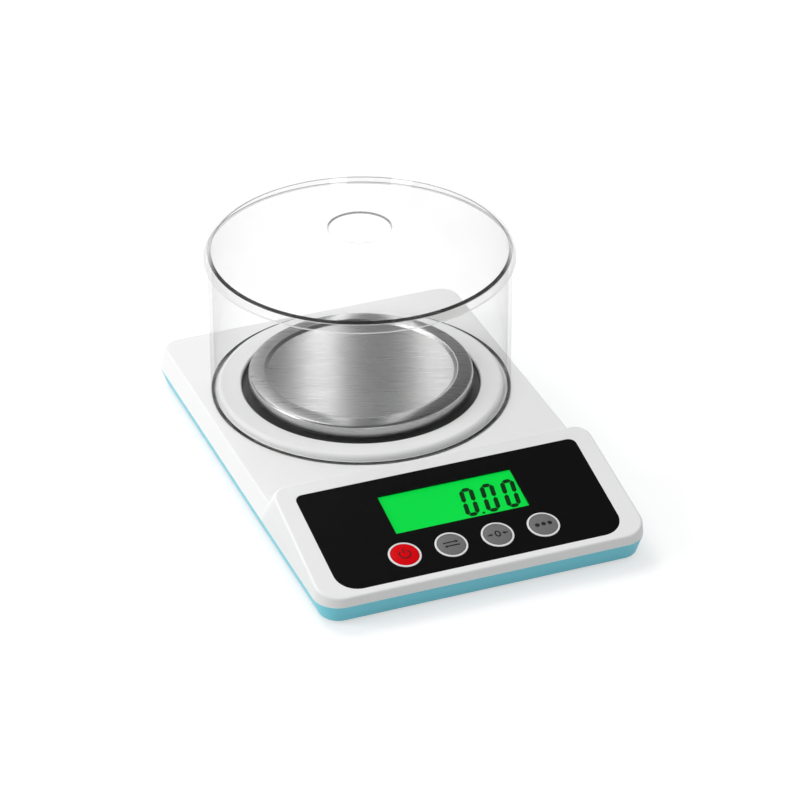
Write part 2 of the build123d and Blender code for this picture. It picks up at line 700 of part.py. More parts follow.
def cell_bolt_spots(end_y, towards):
    """Two bolt positions near an end of the beam, in line along it."""
    first = end_y + towards * CELL_BOLT_FROM_END
    return [(0, first), (0, first + towards * CELL_BOLT_PITCH)]


def support_bolt_spots():
    return [(0, PAN_Y - CELL_BOLT_PITCH / 2), (0, PAN_Y + CELL_BOLT_PITCH / 2)]


def load_cell():
    """Aluminium beam with two bores joined by a slot, which make its parallel flexures."""
    middle_y = (CELL_FRONT_Y + CELL_BACK_Y) / 2
    middle_z = CELL_Z + CELL_SIZE / 2
    beam = block(0, middle_y, CELL_Z, CELL_Z + CELL_SIZE, CELL_SIZE, CELL_L)
    beam = chamfer(beam.edges().filter_by(Axis.Y), CELL_EDGE)
    across = Rot(0, 90, 0)
    for side in (-1, 1):
        bore_y = middle_y + side * CELL_BORE_SPREAD / 2
        beam -= Pos(0, bore_y, middle_z) * across * Cylinder(CELL_BORE_R, CELL_SIZE)
    beam -= Pos(0, middle_y, middle_z) * Box(CELL_SIZE, CELL_BORE_SPREAD, CELL_SLOT_H)
    for x, y in cell_bolt_spots(CELL_BACK_Y, -1) + support_bolt_spots():
        beam -= cylinder(x, y, CELL_Z, CELL_Z + CELL_SIZE, M4_R + SCREW_FIT)
    return beam


def gauge_covers():
    """Protective coats over the strain gauges, above and below the flexures."""
    middle_y = (CELL_FRONT_Y + CELL_BACK_Y) / 2
    top = CELL_Z + CELL_SIZE
    upper = block(0, middle_y, top, top + GAUGE_T, GAUGE_W, GAUGE_L)
    lower = block(0, middle_y, CELL_Z - GAUGE_T, CELL_Z, GAUGE_W, GAUGE_L)
    return upper, lower


def load_cell_spacer():
    """Steel plate that lifts the beam's fixed end off the floor."""
    y = CELL_BACK_Y - SPACER_L / 2
    plate = block(0, y, FLOOR_Z, CELL_Z, SPACER_W, SPACER_L)
    for x, hole_y in cell_bolt_spots(CELL_BACK_Y, -1):
        plate -= cylinder(x, hole_y, FLOOR_Z, CELL_Z, M4_R + SCREW_FIT)
    return plate


def load_cell_screws():
    fastener = screw(M4_HEAD_R, M4_HEAD_H, M4_R, M4_LENGTH)
    return [Pos(x, y, TRAY_BOTTOM_Z + M4_SINK) * fastener for x, y in cell_bolt_spots(CELL_BACK_Y, -1)]


def overload_stop():
    """Set screw in the floor that the beam's free end meets when it is overloaded."""
    stop = cylinder(0, PAN_Y, TRAY_BOTTOM_Z + M4_SINK, CELL_Z - STOP_GAP, M4_R)
    return chamfer(stop.edges().sort_by(Axis.Z)[-1], SCREW_TIP)


def pan_support():
    """Cast spider: a hub on the beam's free end, four arms and a ring that ties them."""
    hub_low = CELL_Z + CELL_SIZE
    arm_low = WELL_FLOOR_Z + HUB_TOP_OVER_WELL
    arm_high = arm_low + ARM_T
    spider = cylinder(0, PAN_Y, hub_low, arm_high, HUB_R)
    for angle in (45, 135, 225, 315):
        turn = Pos(0, PAN_Y, 0) * Rot(0, 0, angle)
        spider += turn * block(ARM_REACH / 2, 0, arm_low, arm_high, ARM_REACH, ARM_W)
        spider += turn * cylinder(ARM_REACH, 0, arm_low, arm_high, ARM_TIP_R)
    ring = cylinder(0, PAN_Y, arm_low, arm_high, ARM_REACH)
    spider += ring - cylinder(0, PAN_Y, arm_low, arm_high, ARM_REACH - ARM_RING_W)
    for x, y in support_bolt_spots():
        spider -= cylinder(x, y, hub_low, arm_high, M4_R + SCREW_FIT)
        spider -= cylinder(x, y, arm_high - M4_HEAD_H, arm_high, M4_HEAD_R + 2 * SCREW_FIT)
    return spider


def support_top():
    return WELL_FLOOR_Z + HUB_TOP_OVER_WELL + ARM_T


def support_pads():
    pads = []
    for angle in (45, 135, 225, 315):
        pad = cylinder(ARM_REACH, 0, support_top(), PAN_REST_Z, PAD_R)
        pad = fillet(pad.edges().sort_by(Axis.Z)[-1], PAD_ROUND)
        pads.append(Pos(0, PAN_Y, 0) * Rot(0, 0, angle) * pad)
    return pads


def support_screws():
    length = support_top() - M4_HEAD_H - CELL_Z - SCREW_END_GAP
    fastener = Rot(180, 0, 0) * screw(M4_HEAD_R, M4_HEAD_H, M4_R, length)
    return [Pos(x, y, support_top()) * fastener for x, y in support_bolt_spots()]


def weighing_pan():
    """Stamped dish: flat middle, a filleted step up to the ring, a skirt and a rolled hem."""
    skirt_low = PAN_TOP_Z - PAN_SKIRT_H
    step_in = PAN_STEP_R - PAN_STEP_W
    ring_low = PAN_TOP_Z - PAN_RIM_RISE
    mid_z = PAN_TOP_Z - PAN_RECESS
    top = [
        (0, mid_z),
        (step_in, mid_z),
        (PAN_STEP_R, PAN_TOP_Z),
        (PAN_R - PAN_EDGE_R, ring_low),
        (PAN_R, ring_low - PAN_EDGE_R),
        (PAN_R, skirt_low + PAN_HEM_R),
    ]
    under = [
        (PAN_R - PAN_SHEET, skirt_low + PAN_HEM_R),
        (PAN_R - PAN_SHEET, ring_low - PAN_EDGE_R - PAN_SHEET / 2),
        (PAN_R - PAN_EDGE_R - PAN_SHEET / 2, ring_low - PAN_SHEET),
        (PAN_STEP_R + PAN_SHEET / 4, PAN_TOP_Z - PAN_SHEET),
        (step_in + PAN_SHEET / 4, mid_z - PAN_SHEET),
        (0, mid_z - PAN_SHEET),
    ]
    pan = spun(top + under)
    step_edges = pan.edges().filter_by(
        lambda e: e.geom_type == GeomType.CIRCLE and e.center().Z > mid_z - 0.01 and e.radius < PAN_R
    )
    pan = fillet(step_edges, PAN_STEP_EDGE_R)
    hem_ring = Pos(0, PAN_Y, skirt_low + PAN_HEM_R) * Torus(PAN_R - PAN_HEM_R, PAN_HEM_R)
    return pan + hem_ring


def draft_shield():
    tube = cylinder(0, PAN_Y, PLATE_Z, PLATE_Z + SHIELD_H, SHIELD_R)
    tube -= cylinder(0, PAN_Y, PLATE_Z, PLATE_Z + SHIELD_H, SHIELD_R - SHIELD_WALL)
    return tube


def shield_lid():
    """Domed lid with a skirt round the tube and a finger hole in the middle."""
    seat_z = PLATE_Z + SHIELD_H
    edge_z = seat_z + LID_T
    land_r = SHIELD_R - SHIELD_WALL - LID_SKIRT_GAP
    skirt_in = SHIELD_R + LID_SKIRT_GAP
    dome_r = (LID_R**2 + LID_RISE**2) / (2 * LID_RISE)
    dome_z = edge_z + LID_RISE - dome_r

    def dome_height(r, thickness):
        return dome_z + math.sqrt((dome_r - thickness) ** 2 - r**2)

    mid_r = (LID_HOLE_R + LID_R) / 2
    top_rim = (LID_HOLE_R, dome_height(LID_HOLE_R, 0))
    top_middle = (mid_r, dome_height(mid_r, 0))
    under_rim = (LID_HOLE_R, dome_height(LID_HOLE_R, LID_T))
    under_middle = (mid_r, dome_height(mid_r, LID_T))
    under_land = (land_r, dome_height(land_r, LID_T))
    outline = [
        ThreePointArc((LID_R, edge_z), top_middle, top_rim),
        Line(top_rim, under_rim),
        ThreePointArc(under_rim, under_middle, under_land),
        Line(under_land, (land_r, seat_z)),
        Line((land_r, seat_z), (skirt_in, seat_z)),
        Line((skirt_in, seat_z), (skirt_in, seat_z - LID_SKIRT_H)),
        Line((skirt_in, seat_z - LID_SKIRT_H), (LID_R, seat_z - LID_SKIRT_H)),
        Line((LID_R, seat_z - LID_SKIRT_H), (LID_R, edge_z)),
    ]
    profile = make_face(Plane.XZ * Wire(outline))
    lid = Pos(0, PAN_Y, 0) * revolve(profile, Axis.Z)
    rim = lid.edges().filter_by(
        lambda e: e.geom_type == GeomType.CIRCLE and abs(e.radius - LID_R) < 0.01 and e.center().Z > seat_z
    )
    return fillet(rim, LID_EDGE_R)


def battery_door():
    low_y = BAY_Y - BAY_L / 2 - DOOR_LEDGE
    width = BAY_W + 2 * DOOR_LEDGE - 2 * DOOR_GAP
    length = BAY_L + 2 * DOOR_LEDGE - DOOR_GAP
    door = block(0, low_y + length / 2, TRAY_BOTTOM_Z, DOOR_TOP_Z - DOOR_GAP, width, length)
    tab_w = 2 * (DOOR_TAB_REACH - DOOR_GAP)
    for x, y in door_tab_spots():
        door += block(x, y, door_tab_low(), DOOR_TOP_Z - DOOR_GAP, tab_w, DOOR_TAB_L)
    for i in range(GRIP_COUNT):
        y = low_y + (i + 2) * GRIP_PITCH
        door -= block(0, y, TRAY_BOTTOM_Z, TRAY_BOTTOM_Z + GRIP_DEPTH, GRIP_GROOVE_L, GRIP_GROOVE_W)
    return door


def cell_x(i):
    return (i - (CELL_COUNT - 1) / 2) * AA_PITCH


def battery_cells():
    cells = []
    for i in range(CELL_COUNT):
        can = cylinder(0, 0, 0, AA_L - AA_NUB_H, AA_R)
        can = fillet(can.edges(), AA_EDGE_R) + cylinder(0, 0, AA_L - AA_NUB_H, AA_L, AA_NUB_R)
        facing = 90 if i % 2 else -90
        start = BAY_Y + (AA_L / 2 if i % 2 else -AA_L / 2)
        cells.append(Pos(cell_x(i), start, AA_Z) * Rot(facing, 0, 0) * can)
    return cells


def battery_contacts():
    """Sheet contacts against the bay's end walls, each with a sprung tongue that meets its cell."""
    contacts = []
    for i in range(CELL_COUNT):
        for end in (-1, 1):
            wall_y = BAY_Y + end * (BAY_L / 2 - CONTACT_T / 2)
            low = AA_Z - CONTACT_H / 2
            plate = block(cell_x(i), wall_y, low, low + CONTACT_H, CONTACT_W, CONTACT_T)
            tip_y = BAY_Y + end * (AA_L / 2 + CONTACT_GAP)
            tongue = Cone(CONTACT_CONE_R, CONTACT_TIP_R, abs(wall_y - tip_y))
            tongue_at = Pos(cell_x(i), (wall_y + tip_y) / 2, AA_Z) * Rot(90 * end, 0, 0)
            contacts.append(plate + tongue_at * tongue)
    return contacts


def converter_y():
    return BODY_L / 2 - CONVERTER_TO_BACK - CONVERTER_L / 2


def converter_spots():
    reach_x = CONVERTER_W / 2 - CONVERTER_HOLE_INSET
    reach_y = CONVERTER_L / 2 - CONVERTER_HOLE_INSET
    return [(CONVERTER_X + sx * reach_x, converter_y() + sy * reach_y) for sx in (-1, 1) for sy in (-1, 1)]


def converter_low():
    return FLOOR_Z + CONVERTER_POST_H


def converter_board():
    low = converter_low()
    board = block(CONVERTER_X, converter_y(), low, low + BOARD_T, CONVERTER_W, CONVERTER_L)
    for x, y in converter_spots():
        board -= cylinder(x, y, low, low + BOARD_T, M2_R + SCREW_FIT)
    return board


def shielding_can():
    low = converter_low() + BOARD_T
    y = converter_y() + CAN_FROM_BOARD_MIDDLE
    can = block(CONVERTER_X, y, low, low + CAN_H, CAN_SIZE, CAN_SIZE)
    return fillet(can.edges().filter_by(Axis.Z), CAN_CORNER_R)


def converter_screws():
    top = converter_low() + BOARD_T + M2_HEAD_H
    fastener = Rot(180, 0, 0) * screw(M2_HEAD_R, M2_HEAD_H, M2_R, M2_LENGTH)
    return [Pos(x, y, top) * fastener for x, y in converter_spots()]


os.makedirs("parts", exist_ok=True)

save("lower_housing", lower_housing())
save("upper_housing", upper_housing())
save("front_panel", front_panel())
save("display_window", display_window())
save("button_rings", *button_rings())
for name, button_x in zip(BUTTON_NAMES, BUTTON_XS):
    save(f"{name}_button", button_cap(button_x))
    save(f"{name}_switch_plunger", switch_plunger(button_x))
save("tact_switches", *tact_switches())
save("lcd_glass", lcd_glass())
save("lcd_backlight", lcd_backlight())
save("lcd_frame", lcd_frame())
save("display_board", display_board())
save("display_board_screws", *display_board_screws())
save("load_cell", load_cell())
save("gauge_covers", *gauge_covers())
save("load_cell_spacer", load_cell_spacer())
save("load_cell_screws", *load_cell_screws())
save("overload_stop", overload_stop())
save("pan_support", pan_support())
save("support_pads", *support_pads())
save("support_screws", *support_screws())
save("weighing_pan", weighing_pan())
save("draft_shield", draft_shield())
save("shield_lid", shield_lid())
save("converter_board", converter_board())
save("shielding_can", shielding_can())
save("converter_screws", *converter_screws())
save("dc_socket", dc_socket())
save("battery_cells", *battery_cells())
save("battery_contacts", *battery_contacts())
save("battery_door", battery_door())
save("rubber_feet", *rubber_feet())
save("housing_screws", *housing_screws())
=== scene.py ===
import json
import math

import bmesh
import bpy
from mathutils import Matrix, Vector


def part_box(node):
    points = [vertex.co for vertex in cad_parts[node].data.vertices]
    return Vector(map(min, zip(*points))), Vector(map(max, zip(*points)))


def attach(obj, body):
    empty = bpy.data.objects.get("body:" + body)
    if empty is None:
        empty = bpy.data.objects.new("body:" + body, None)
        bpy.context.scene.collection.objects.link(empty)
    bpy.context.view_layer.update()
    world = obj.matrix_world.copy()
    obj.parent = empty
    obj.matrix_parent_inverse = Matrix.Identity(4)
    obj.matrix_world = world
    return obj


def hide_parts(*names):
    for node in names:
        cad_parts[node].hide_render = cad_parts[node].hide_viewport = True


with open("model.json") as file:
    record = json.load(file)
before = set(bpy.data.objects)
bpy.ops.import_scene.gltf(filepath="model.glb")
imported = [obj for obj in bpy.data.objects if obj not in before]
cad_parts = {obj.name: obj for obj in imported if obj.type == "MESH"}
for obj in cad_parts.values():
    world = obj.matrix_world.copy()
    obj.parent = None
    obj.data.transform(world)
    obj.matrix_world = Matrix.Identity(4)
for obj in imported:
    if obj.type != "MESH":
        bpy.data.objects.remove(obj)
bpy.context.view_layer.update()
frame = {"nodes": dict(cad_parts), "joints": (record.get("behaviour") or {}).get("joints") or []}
nodes = frame["nodes"]

# Precision balance: finishes, clear shield, pan, display figures and signs on the buttons.
# Lengths are in metres. +X is the user's right, +Y is away from the user, +Z is up.

MM = 0.001

# Camera, fitted to the photograph at the pan axis on the plate's top
CAMERA_TARGET = Vector((0, 45.1, 21.5)) * MM
CAMERA_YAW = -21.271
CAMERA_ELEVATION = 31.215
CAMERA_ROLL = -0.135
CAMERA_DISTANCE = 1.94733
CAMERA_SLIDE = (-0.020138, 0.007518)
CAMERA_LENS_WIDTHS = 4.70632

# Light: a white sweep behind the object under a dimmer room, and white for what the camera sees
AMBIENT = 0.55
SWEEP_LOW = 0.14
SWEEP_HIGH = 0.5
ROOM = 0.15
FLOOR_HALF = 3.0
FLOOR_WHITE = 0.5
FLOOR_LIFT = 0.56

# Lamps: name, place, size and power; the strips have an aside, a width and a power
LAMP_TARGET = (0, 0, 0.03)
LAMPS = (
    ("key", (-1.7, 0.3, 0.9), (0.8, 0.8), 15),
    ("front", (-0.3, -2.0, 0.7), (1.0, 0.6), 2),
    ("top", (-0.4, 1.0, 1.7), (1.0, 1.0), 16),
)
PAN_STRIPS = (("strip_left", -0.025, 0.016, 0.065), ("strip_right", 0.035, 0.02, 0.065))
STRIP_H = 0.3
STRIP_REACH = 0.42

# Smoothness of the turned pieces
TURN_STEPS = 256

# Draft shield and lid
SHIELD_WALL = 2.0 * MM
SHIELD_FOOT_EDGE = 0.4 * MM
SHIELD_BEVEL = 1.0 * MM
# Glint sizes: bands of painted highlight, which also set small chamfers
SHIELD_PAINTED_GLINT = 0.35 * MM
LID_T = 2.4 * MM
LID_SKIRT_H = 5.2 * MM
LID_EDGE_R = 1.4 * MM
LID_HOLE_R = 15.7 * MM
LID_HOLE_BEVEL = 0.8 * MM
LID_SKIRT_GAP = 0.3 * MM
LID_PAINTED_GLINT = 0.4 * MM
LID_DOME_STEPS = 24

# Weighing pan
PAN_SHEET = 0.8 * MM
PAN_STEP_R = 50.0 * MM
PAN_STEP_W = 2.0 * MM
PAN_STEP_FOOT_R = 0.8 * MM
PAN_STEP_TOP_R = 0.9 * MM
PAN_RECESS = 1.2 * MM
PAN_RIM_RISE = 0.6 * MM
PAN_EDGE_R = 1.6 * MM
PAN_HEM_R = 0.65 * MM
PAN_BRUSH_TURN = -21.0
PAN_BRUSH_UV = 5
PAN_BRUSH_HEIGHT = 0.003 * MM

# Painted shade in the housing's well: its wall below the rim is coloured dark as if shaded by the pan
WELL_R = 61.75 * MM
WELL_RIM_OVER_FOOT = 3.5 * MM
WELL_SHADE_DEPTH = 0.9 * MM
WELL_SHADE_START = 0.1 * MM
WELL_SHADE_END = 0.6 * MM

# Display figures, measured along the console from the window's lower right corner
FIGURE_W = 7.4 * MM
FIGURE_H = 19.2 * MM
FIGURE_PITCH = 10.9 * MM
FIGURE_STROKE = 2.4 * MM
FIGURE_GAP = 0.12 * MM
FIGURE_LEAN = 0.14
FIGURE_RIGHT = 3.2 * MM
FIGURE_BASE = 1.7 * MM
FIGURE_POINT = 1.5 * MM
INK_T = 0.03 * MM

# Signs on the buttons
CAP_R = 7.0 * MM
CAP_CROWN = 0.5 * MM
SIGN_STROKE = 0.75 * MM
SIGN_STEP = 0.6 * MM
ARROW_HEAD = 1.5 * MM
ARROW_HALF_W = 0.93 * MM
ARROW_OVERLAP = 0.45 * MM
POWER_R = 2.7 * MM
POWER_GAP = 38.0
POWER_BAR = (0.6 * MM, 3.7 * MM)
MODE_REACH = 4.0 * MM
MODE_ROW = 1.15 * MM
TARE_ZERO = (1.15 * MM, 1.7 * MM)
TARE_NEAR = 2.3 * MM
TARE_FAR = 5.3 * MM
COUNT_PITCH = 3.3 * MM
COUNT_R = 1.2 * MM

# Looks: sizes of the noise, and how clear sheets lose light and shine where seen edge on
BROAD_NOISE = 45.0
FINE_NOISE = 900.0
SMEAR_NOISE = 40.0
CUT_NOISE = 80.0
CLEAR_UNEVEN = 0.004
LOSS_POWER = 2.0
SHINE_POWER = 5.0
EDGE_SHINE = 0.15
HOUSING_WHITE = (0.82, 0.825, 0.82)
# Painted shade colour for the wall of the pan's well
WELL_PAINTED_SHADE = (0.06, 0.06, 0.06)
TRAY_BLUE = (0.205, 0.7, 0.83)
PANEL_BLACK = (0.004, 0.004, 0.0041)
LIT_GREEN = (0.0004, 0.76, 0.065)
STEEL = (0.44, 0.44, 0.44)


def new_material(name):
    """An empty node material with a Principled shader; returns the material, its nodes, links and shader."""
    made = bpy.data.materials.new(name)
    made.use_nodes = True
    tree = made.node_tree
    return made, tree.nodes, tree.links, tree.nodes["Principled BSDF"]


def object_noise(tree_nodes, links, scale, detail=4.0, stretch=(1, 1, 1), turn=0.0):
    """Noise in the object's own coordinates, turned about Z and then stretched."""
    place = tree_nodes.new("ShaderNodeTexCoord")
    turned_place = tree_nodes.new("ShaderNodeMapping")
    turned_place.inputs["Rotation"].default_value = (0, 0, math.radians(turn))
    mapping = tree_nodes.new("ShaderNodeMapping")
    mapping.inputs["Scale"].default_value = stretch
    noise = tree_nodes.new("ShaderNodeTexNoise")
    noise.inputs["Scale"].default_value = scale
    noise.inputs["Detail"].default_value = detail
    links.new(place.outputs["Object"], turned_place.inputs["Vector"])
    links.new(turned_place.outputs["Vector"], mapping.inputs["Vector"])
    links.new(mapping.outputs["Vector"], noise.inputs["Vector"])
    return noise.outputs["Fac"]


def ranged(tree_nodes, links, value, low, high, start=0.3, end=0.7):
    """A value between start and end, spread from low to high."""
    spread = tree_nodes.new("ShaderNodeMapRange")
    spread.inputs["From Min"].default_value = start
    spread.inputs["From Max"].default_value = end
    spread.inputs["To Min"].default_value = low
    spread.inputs["To Max"].default_value = high
    links.new(value, spread.inputs["Value"])
    return spread.outputs["Result"]


def tint(tree_nodes, links, value, colour_a, colour_b):
    """A colour between two others; each is a colour or a socket."""
    mix = tree_nodes.new("ShaderNodeMix")
    mix.data_type = "RGBA"
    links.new(value, mix.inputs["Factor"])
    for socket, colour in ((mix.inputs["A"], colour_a), (mix.inputs["B"], colour_b)):
        if isinstance(colour, tuple):
            socket.default_value = (*colour, 1)
        else:
            links.new(colour, socket)
    return mix.outputs["Result"]


def scaled(colour, share):
    """A colour, each part times the share."""
    return tuple(c * share for c in colour)


def math_node(tree_nodes, links, operation, *values):
    """A Math node on numbers or sockets."""
    made = tree_nodes.new("ShaderNodeMath")
    made.operation = operation
    for socket, value in zip(made.inputs, values):
        if isinstance(value, (int, float)):
            socket.default_value = value
        else:
            links.new(value, socket)
    return made.outputs[0]


def bump(tree_nodes, links, shader, height, distance):
    """Bump on a shader from a height of 0 to 1, at most the distance high."""
    made = tree_nodes.new("ShaderNodeBump")
    made.inputs["Distance"].default_value = distance
    links.new(height, made.inputs["Height"])
    links.new(made.outputs["Normal"], shader.inputs["Normal"])


def surface(name, colour, roughness, metallic=0.0, vary=0.04, grain=None, specular=0.4):
    """A finish with slightly uneven colour and roughness, and a fine grain of (scale, height)."""
    made, tree_nodes, links, shader = new_material(name)
    broad = object_noise(tree_nodes, links, BROAD_NOISE)
    colour_out = tint(tree_nodes, links, broad, scaled(colour, 1 - vary), scaled(colour, 1 + vary))
    links.new(colour_out, shader.inputs["Base Color"])
    fine = object_noise(tree_nodes, links, FINE_NOISE, 2.0)
    rough_out = ranged(tree_nodes, links, fine, roughness * 0.88, min(1.0, roughness * 1.12))
    links.new(rough_out, shader.inputs["Roughness"])
    shader.inputs["Metallic"].default_value = metallic
    shader.inputs["Specular IOR Level"].default_value = specular
    if grain:
        scale, height = grain
        bump(tree_nodes, links, shader, object_noise(tree_nodes, links, scale, 3.0), height)
    return made


def housing_white():
    """White moulded plastic, with painted shade inside the pan's well."""
    made = surface("white_plastic", HOUSING_WHITE, 0.42, grain=(2500.0, 0.000004), vary=0.01)
    tree_nodes, links = made.node_tree.nodes, made.node_tree.links
    shader = tree_nodes["Principled BSDF"]
    plain = shader.inputs["Base Color"].links[0].from_socket
    pan_low, pan_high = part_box("weighing_pan")
    ring_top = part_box("draft_shield")[0].z + WELL_RIM_OVER_FOOT
    place = tree_nodes.new("ShaderNodeTexCoord")
    shift = tree_nodes.new("ShaderNodeVectorMath")
    shift.operation = "SUBTRACT"
    shift.inputs[1].default_value = ((pan_low.x + pan_high.x) / 2, (pan_low.y + pan_high.y) / 2, 0)
    links.new(place.outputs["Object"], shift.inputs[0])
    split = tree_nodes.new("ShaderNodeSeparateXYZ")
    links.new(shift.outputs["Vector"], split.inputs["Vector"])
    x, y, z = split.outputs
    x_squared, y_squared = (math_node(tree_nodes, links, "POWER", v, 2.0) for v in (x, y))
    reach = math_node(tree_nodes, links, "SQRT", math_node(tree_nodes, links, "ADD", x_squared, y_squared))
    near, far = WELL_R + WELL_SHADE_START, WELL_R + WELL_SHADE_END
    within = ranged(tree_nodes, links, reach, 1.0, 0.0, near, far)
    low_start = ring_top - 2 * WELL_SHADE_DEPTH
    below = ranged(tree_nodes, links, z, 1.0, 0.0, low_start, ring_top - WELL_SHADE_DEPTH)
    painted_shade_share = math_node(tree_nodes, links, "MULTIPLY", within, below)
    # Painted shade: the well's wall below the rim is coloured near black
    links.new(tint(tree_nodes, links, painted_shade_share, plain, WELL_PAINTED_SHADE), shader.inputs["Base Color"])
    return made


def facing_of(tree_nodes):
    """0 where a surface faces the eye, 1 where it is seen edge on."""
    weight = tree_nodes.new("ShaderNodeLayerWeight")
    weight.inputs["Blend"].default_value = 0.5
    return weight.outputs["Facing"]


def clear_sheet(name, clear, edge_loss, gloss, roughness=0.03):
    """Polished clear sheet: lets light through, less where seen edge on, and shines more there."""
    made, tree_nodes, links, shader = new_material(name)
    facing = facing_of(tree_nodes)
    turned_off = math_node(tree_nodes, links, "POWER", facing, LOSS_POWER)
    loss = math_node(tree_nodes, links, "MULTIPLY", turned_off, edge_loss)
    smear = object_noise(tree_nodes, links, SMEAR_NOISE, 3.0)
    uneven = ranged(tree_nodes, links, smear, clear - CLEAR_UNEVEN, clear + CLEAR_UNEVEN)
    level = math_node(tree_nodes, links, "SUBTRACT", uneven, loss)
    grey = tree_nodes.new("ShaderNodeCombineColor")
    for channel in grey.inputs:
        links.new(level, channel)
    film = tree_nodes.new("ShaderNodeBsdfTransparent")
    links.new(grey.outputs["Color"], film.inputs["Color"])
    shader.inputs["Base Color"].default_value = (1, 1, 1, 1)
    shader.inputs["Metallic"].default_value = 1.0
    links.new(ranged(tree_nodes, links, smear, roughness * 0.7, roughness * 1.3), shader.inputs["Roughness"])
    grazing = math_node(tree_nodes, links, "POWER", facing, SHINE_POWER)
    rise = math_node(tree_nodes, links, "MULTIPLY", grazing, EDGE_SHINE)
    shine = math_node(tree_nodes, links, "ADD", rise, gloss)
    blend_shaders(tree_nodes, links, shine, film, shader)
    return made


def edge_painted_light(name, colour, most, least=0.0, roughness=0.2):
    """Edge of a clear sheet in a painted colour, dark for painted shade and light for a painted highlight:
    dense where it faces the eye, clear where seen edge on.
    """
    made, tree_nodes, links, shader = new_material(name)
    film = tree_nodes.new("ShaderNodeBsdfTransparent")
    smear = object_noise(tree_nodes, links, CUT_NOISE, 3.0)
    colour_out = tint(tree_nodes, links, smear, scaled(colour, 0.9), scaled(colour, 1.1))
    links.new(colour_out, shader.inputs["Base Color"])
    links.new(ranged(tree_nodes, links, smear, roughness * 0.8, roughness * 1.2), shader.inputs["Roughness"])
    # The painted colour is densest where the edge faces the eye
    dense = ranged(tree_nodes, links, facing_of(tree_nodes), most, least, 0.45, 0.75)
    blend_shaders(tree_nodes, links, dense, film, shader)
    return made


def blend_shaders(tree_nodes, links, share, film, shader):
    """The surface goes from the first shader to the second as the share goes from 0 to 1."""
    mix = tree_nodes.new("ShaderNodeMixShader")
    links.new(share, mix.inputs["Fac"])
    links.new(film.outputs[0], mix.inputs[1])
    links.new(shader.outputs[0], mix.inputs[2])
    links.new(mix.outputs[0], tree_nodes["Material Output"].inputs["Surface"])


def brushed_steel():
    """Stainless sheet brushed in straight lines, so that lights draw out across the lines."""
    made, tree_nodes, links, shader = new_material("brushed_steel")
    shader.inputs["Metallic"].default_value = 1.0
    shader.inputs["Anisotropic"].default_value = 0.95
    streaks = object_noise(tree_nodes, links, 50.0, 8.0, stretch=(1, 50, 1), turn=-PAN_BRUSH_TURN)
    colour_out = tint(tree_nodes, links, streaks, scaled(STEEL, 0.93), scaled(STEEL, 1.07))
    links.new(colour_out, shader.inputs["Base Color"])
    links.new(ranged(tree_nodes, links, streaks, 0.26, 0.32), shader.inputs["Roughness"])
    bump(tree_nodes, links, shader, streaks, PAN_BRUSH_HEIGHT)
    across = tree_nodes.new("ShaderNodeTangent")
    across.direction_type = "UV_MAP"
    across.uv_map = "brush"
    links.new(across.outputs["Tangent"], shader.inputs["Tangent"])
    return made


def spun_steel():
    """The same sheet where it was drawn down into the skirt, with fine rings."""
    made, tree_nodes, links, shader = new_material("spun_steel")
    shader.inputs["Metallic"].default_value = 1.0
    rings = object_noise(tree_nodes, links, 60.0, 6.0, stretch=(1, 1, 60))
    colour_out = tint(tree_nodes, links, rings, scaled(STEEL, 0.95), scaled(STEEL, 1.08))
    links.new(colour_out, shader.inputs["Base Color"])
    links.new(ranged(tree_nodes, links, rings, 0.22, 0.3), shader.inputs["Roughness"])
    return made


def lit(name, colour, share, vary):
    """A surface lit partly from behind, a little uneven."""
    made, tree_nodes, links, shader = new_material(name)
    broad = object_noise(tree_nodes, links, 25.0, 1.0)
    colour_out = tint(tree_nodes, links, broad, scaled(colour, 1 - vary), scaled(colour, 1 + vary))
    own = tint(tree_nodes, links, broad, scaled(colour, (1 - vary) * (1 - share)), scaled(colour, 1 - share))
    links.new(own, shader.inputs["Base Color"])
    shader.inputs["Roughness"].default_value = 0.4
    shader.inputs["Specular IOR Level"].default_value = 0.05
    links.new(colour_out, shader.inputs["Emission Color"])
    shader.inputs["Emission Strength"].default_value = share
    return made


def dress(node, made):
    """Give every slot of a CAD node one finish."""
    for place in nodes[node].material_slots:
        place.material = made


def add_piece(name, mesh_data, finishes, body):
    """A piece of the scene that rides on a body."""
    piece = bpy.data.objects.new(name, mesh_data)
    bpy.context.scene.collection.objects.link(piece)
    for made in finishes:
        mesh_data.materials.append(made)
    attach(piece, body)
    return piece


def turned(name, outline, axis_at):
    """A solid turned from a closed outline of (radius, height) points; radius 0 closes it at the axis."""
    form = bmesh.new()
    rings = []
    for radius, height in outline:
        if radius == 0:
            rings.append([form.verts.new((axis_at.x, axis_at.y, height))])
            continue
        turns = [2 * math.pi * i / TURN_STEPS for i in range(TURN_STEPS)]
        rings.append([
            form.verts.new((axis_at.x + radius * math.cos(t), axis_at.y + radius * math.sin(t), height))
            for t in turns
        ])
    for ring, after in zip(rings, rings[1:] + rings[:1]):
        if len(ring) == 1 and len(after) == 1:
            continue
        for i in range(TURN_STEPS):
            k = (i + 1) % TURN_STEPS
            corners = [ring[i % len(ring)], ring[k % len(ring)], after[k % len(after)], after[i % len(after)]]
            form.faces.new(list(dict.fromkeys(corners)))
    bmesh.ops.recalc_face_normals(form, faces=form.faces)
    mesh_data = bpy.data.meshes.new(name)
    form.to_mesh(mesh_data)
    form.free()
    smooth(mesh_data)
    return mesh_data


def paint_turned(mesh_data, axis_at, index, wanted):
    """Give the faces whose middle ring (radius, height) is wanted another material slot."""
    for face in mesh_data.polygons:
        corners = [mesh_data.vertices[i].co for i in face.vertices]
        reach = sum(math.hypot(c.x - axis_at.x, c.y - axis_at.y) for c in corners) / len(corners)
        height = sum(c.z for c in corners) / len(corners)
        if wanted(reach, height):
            face.material_index = index


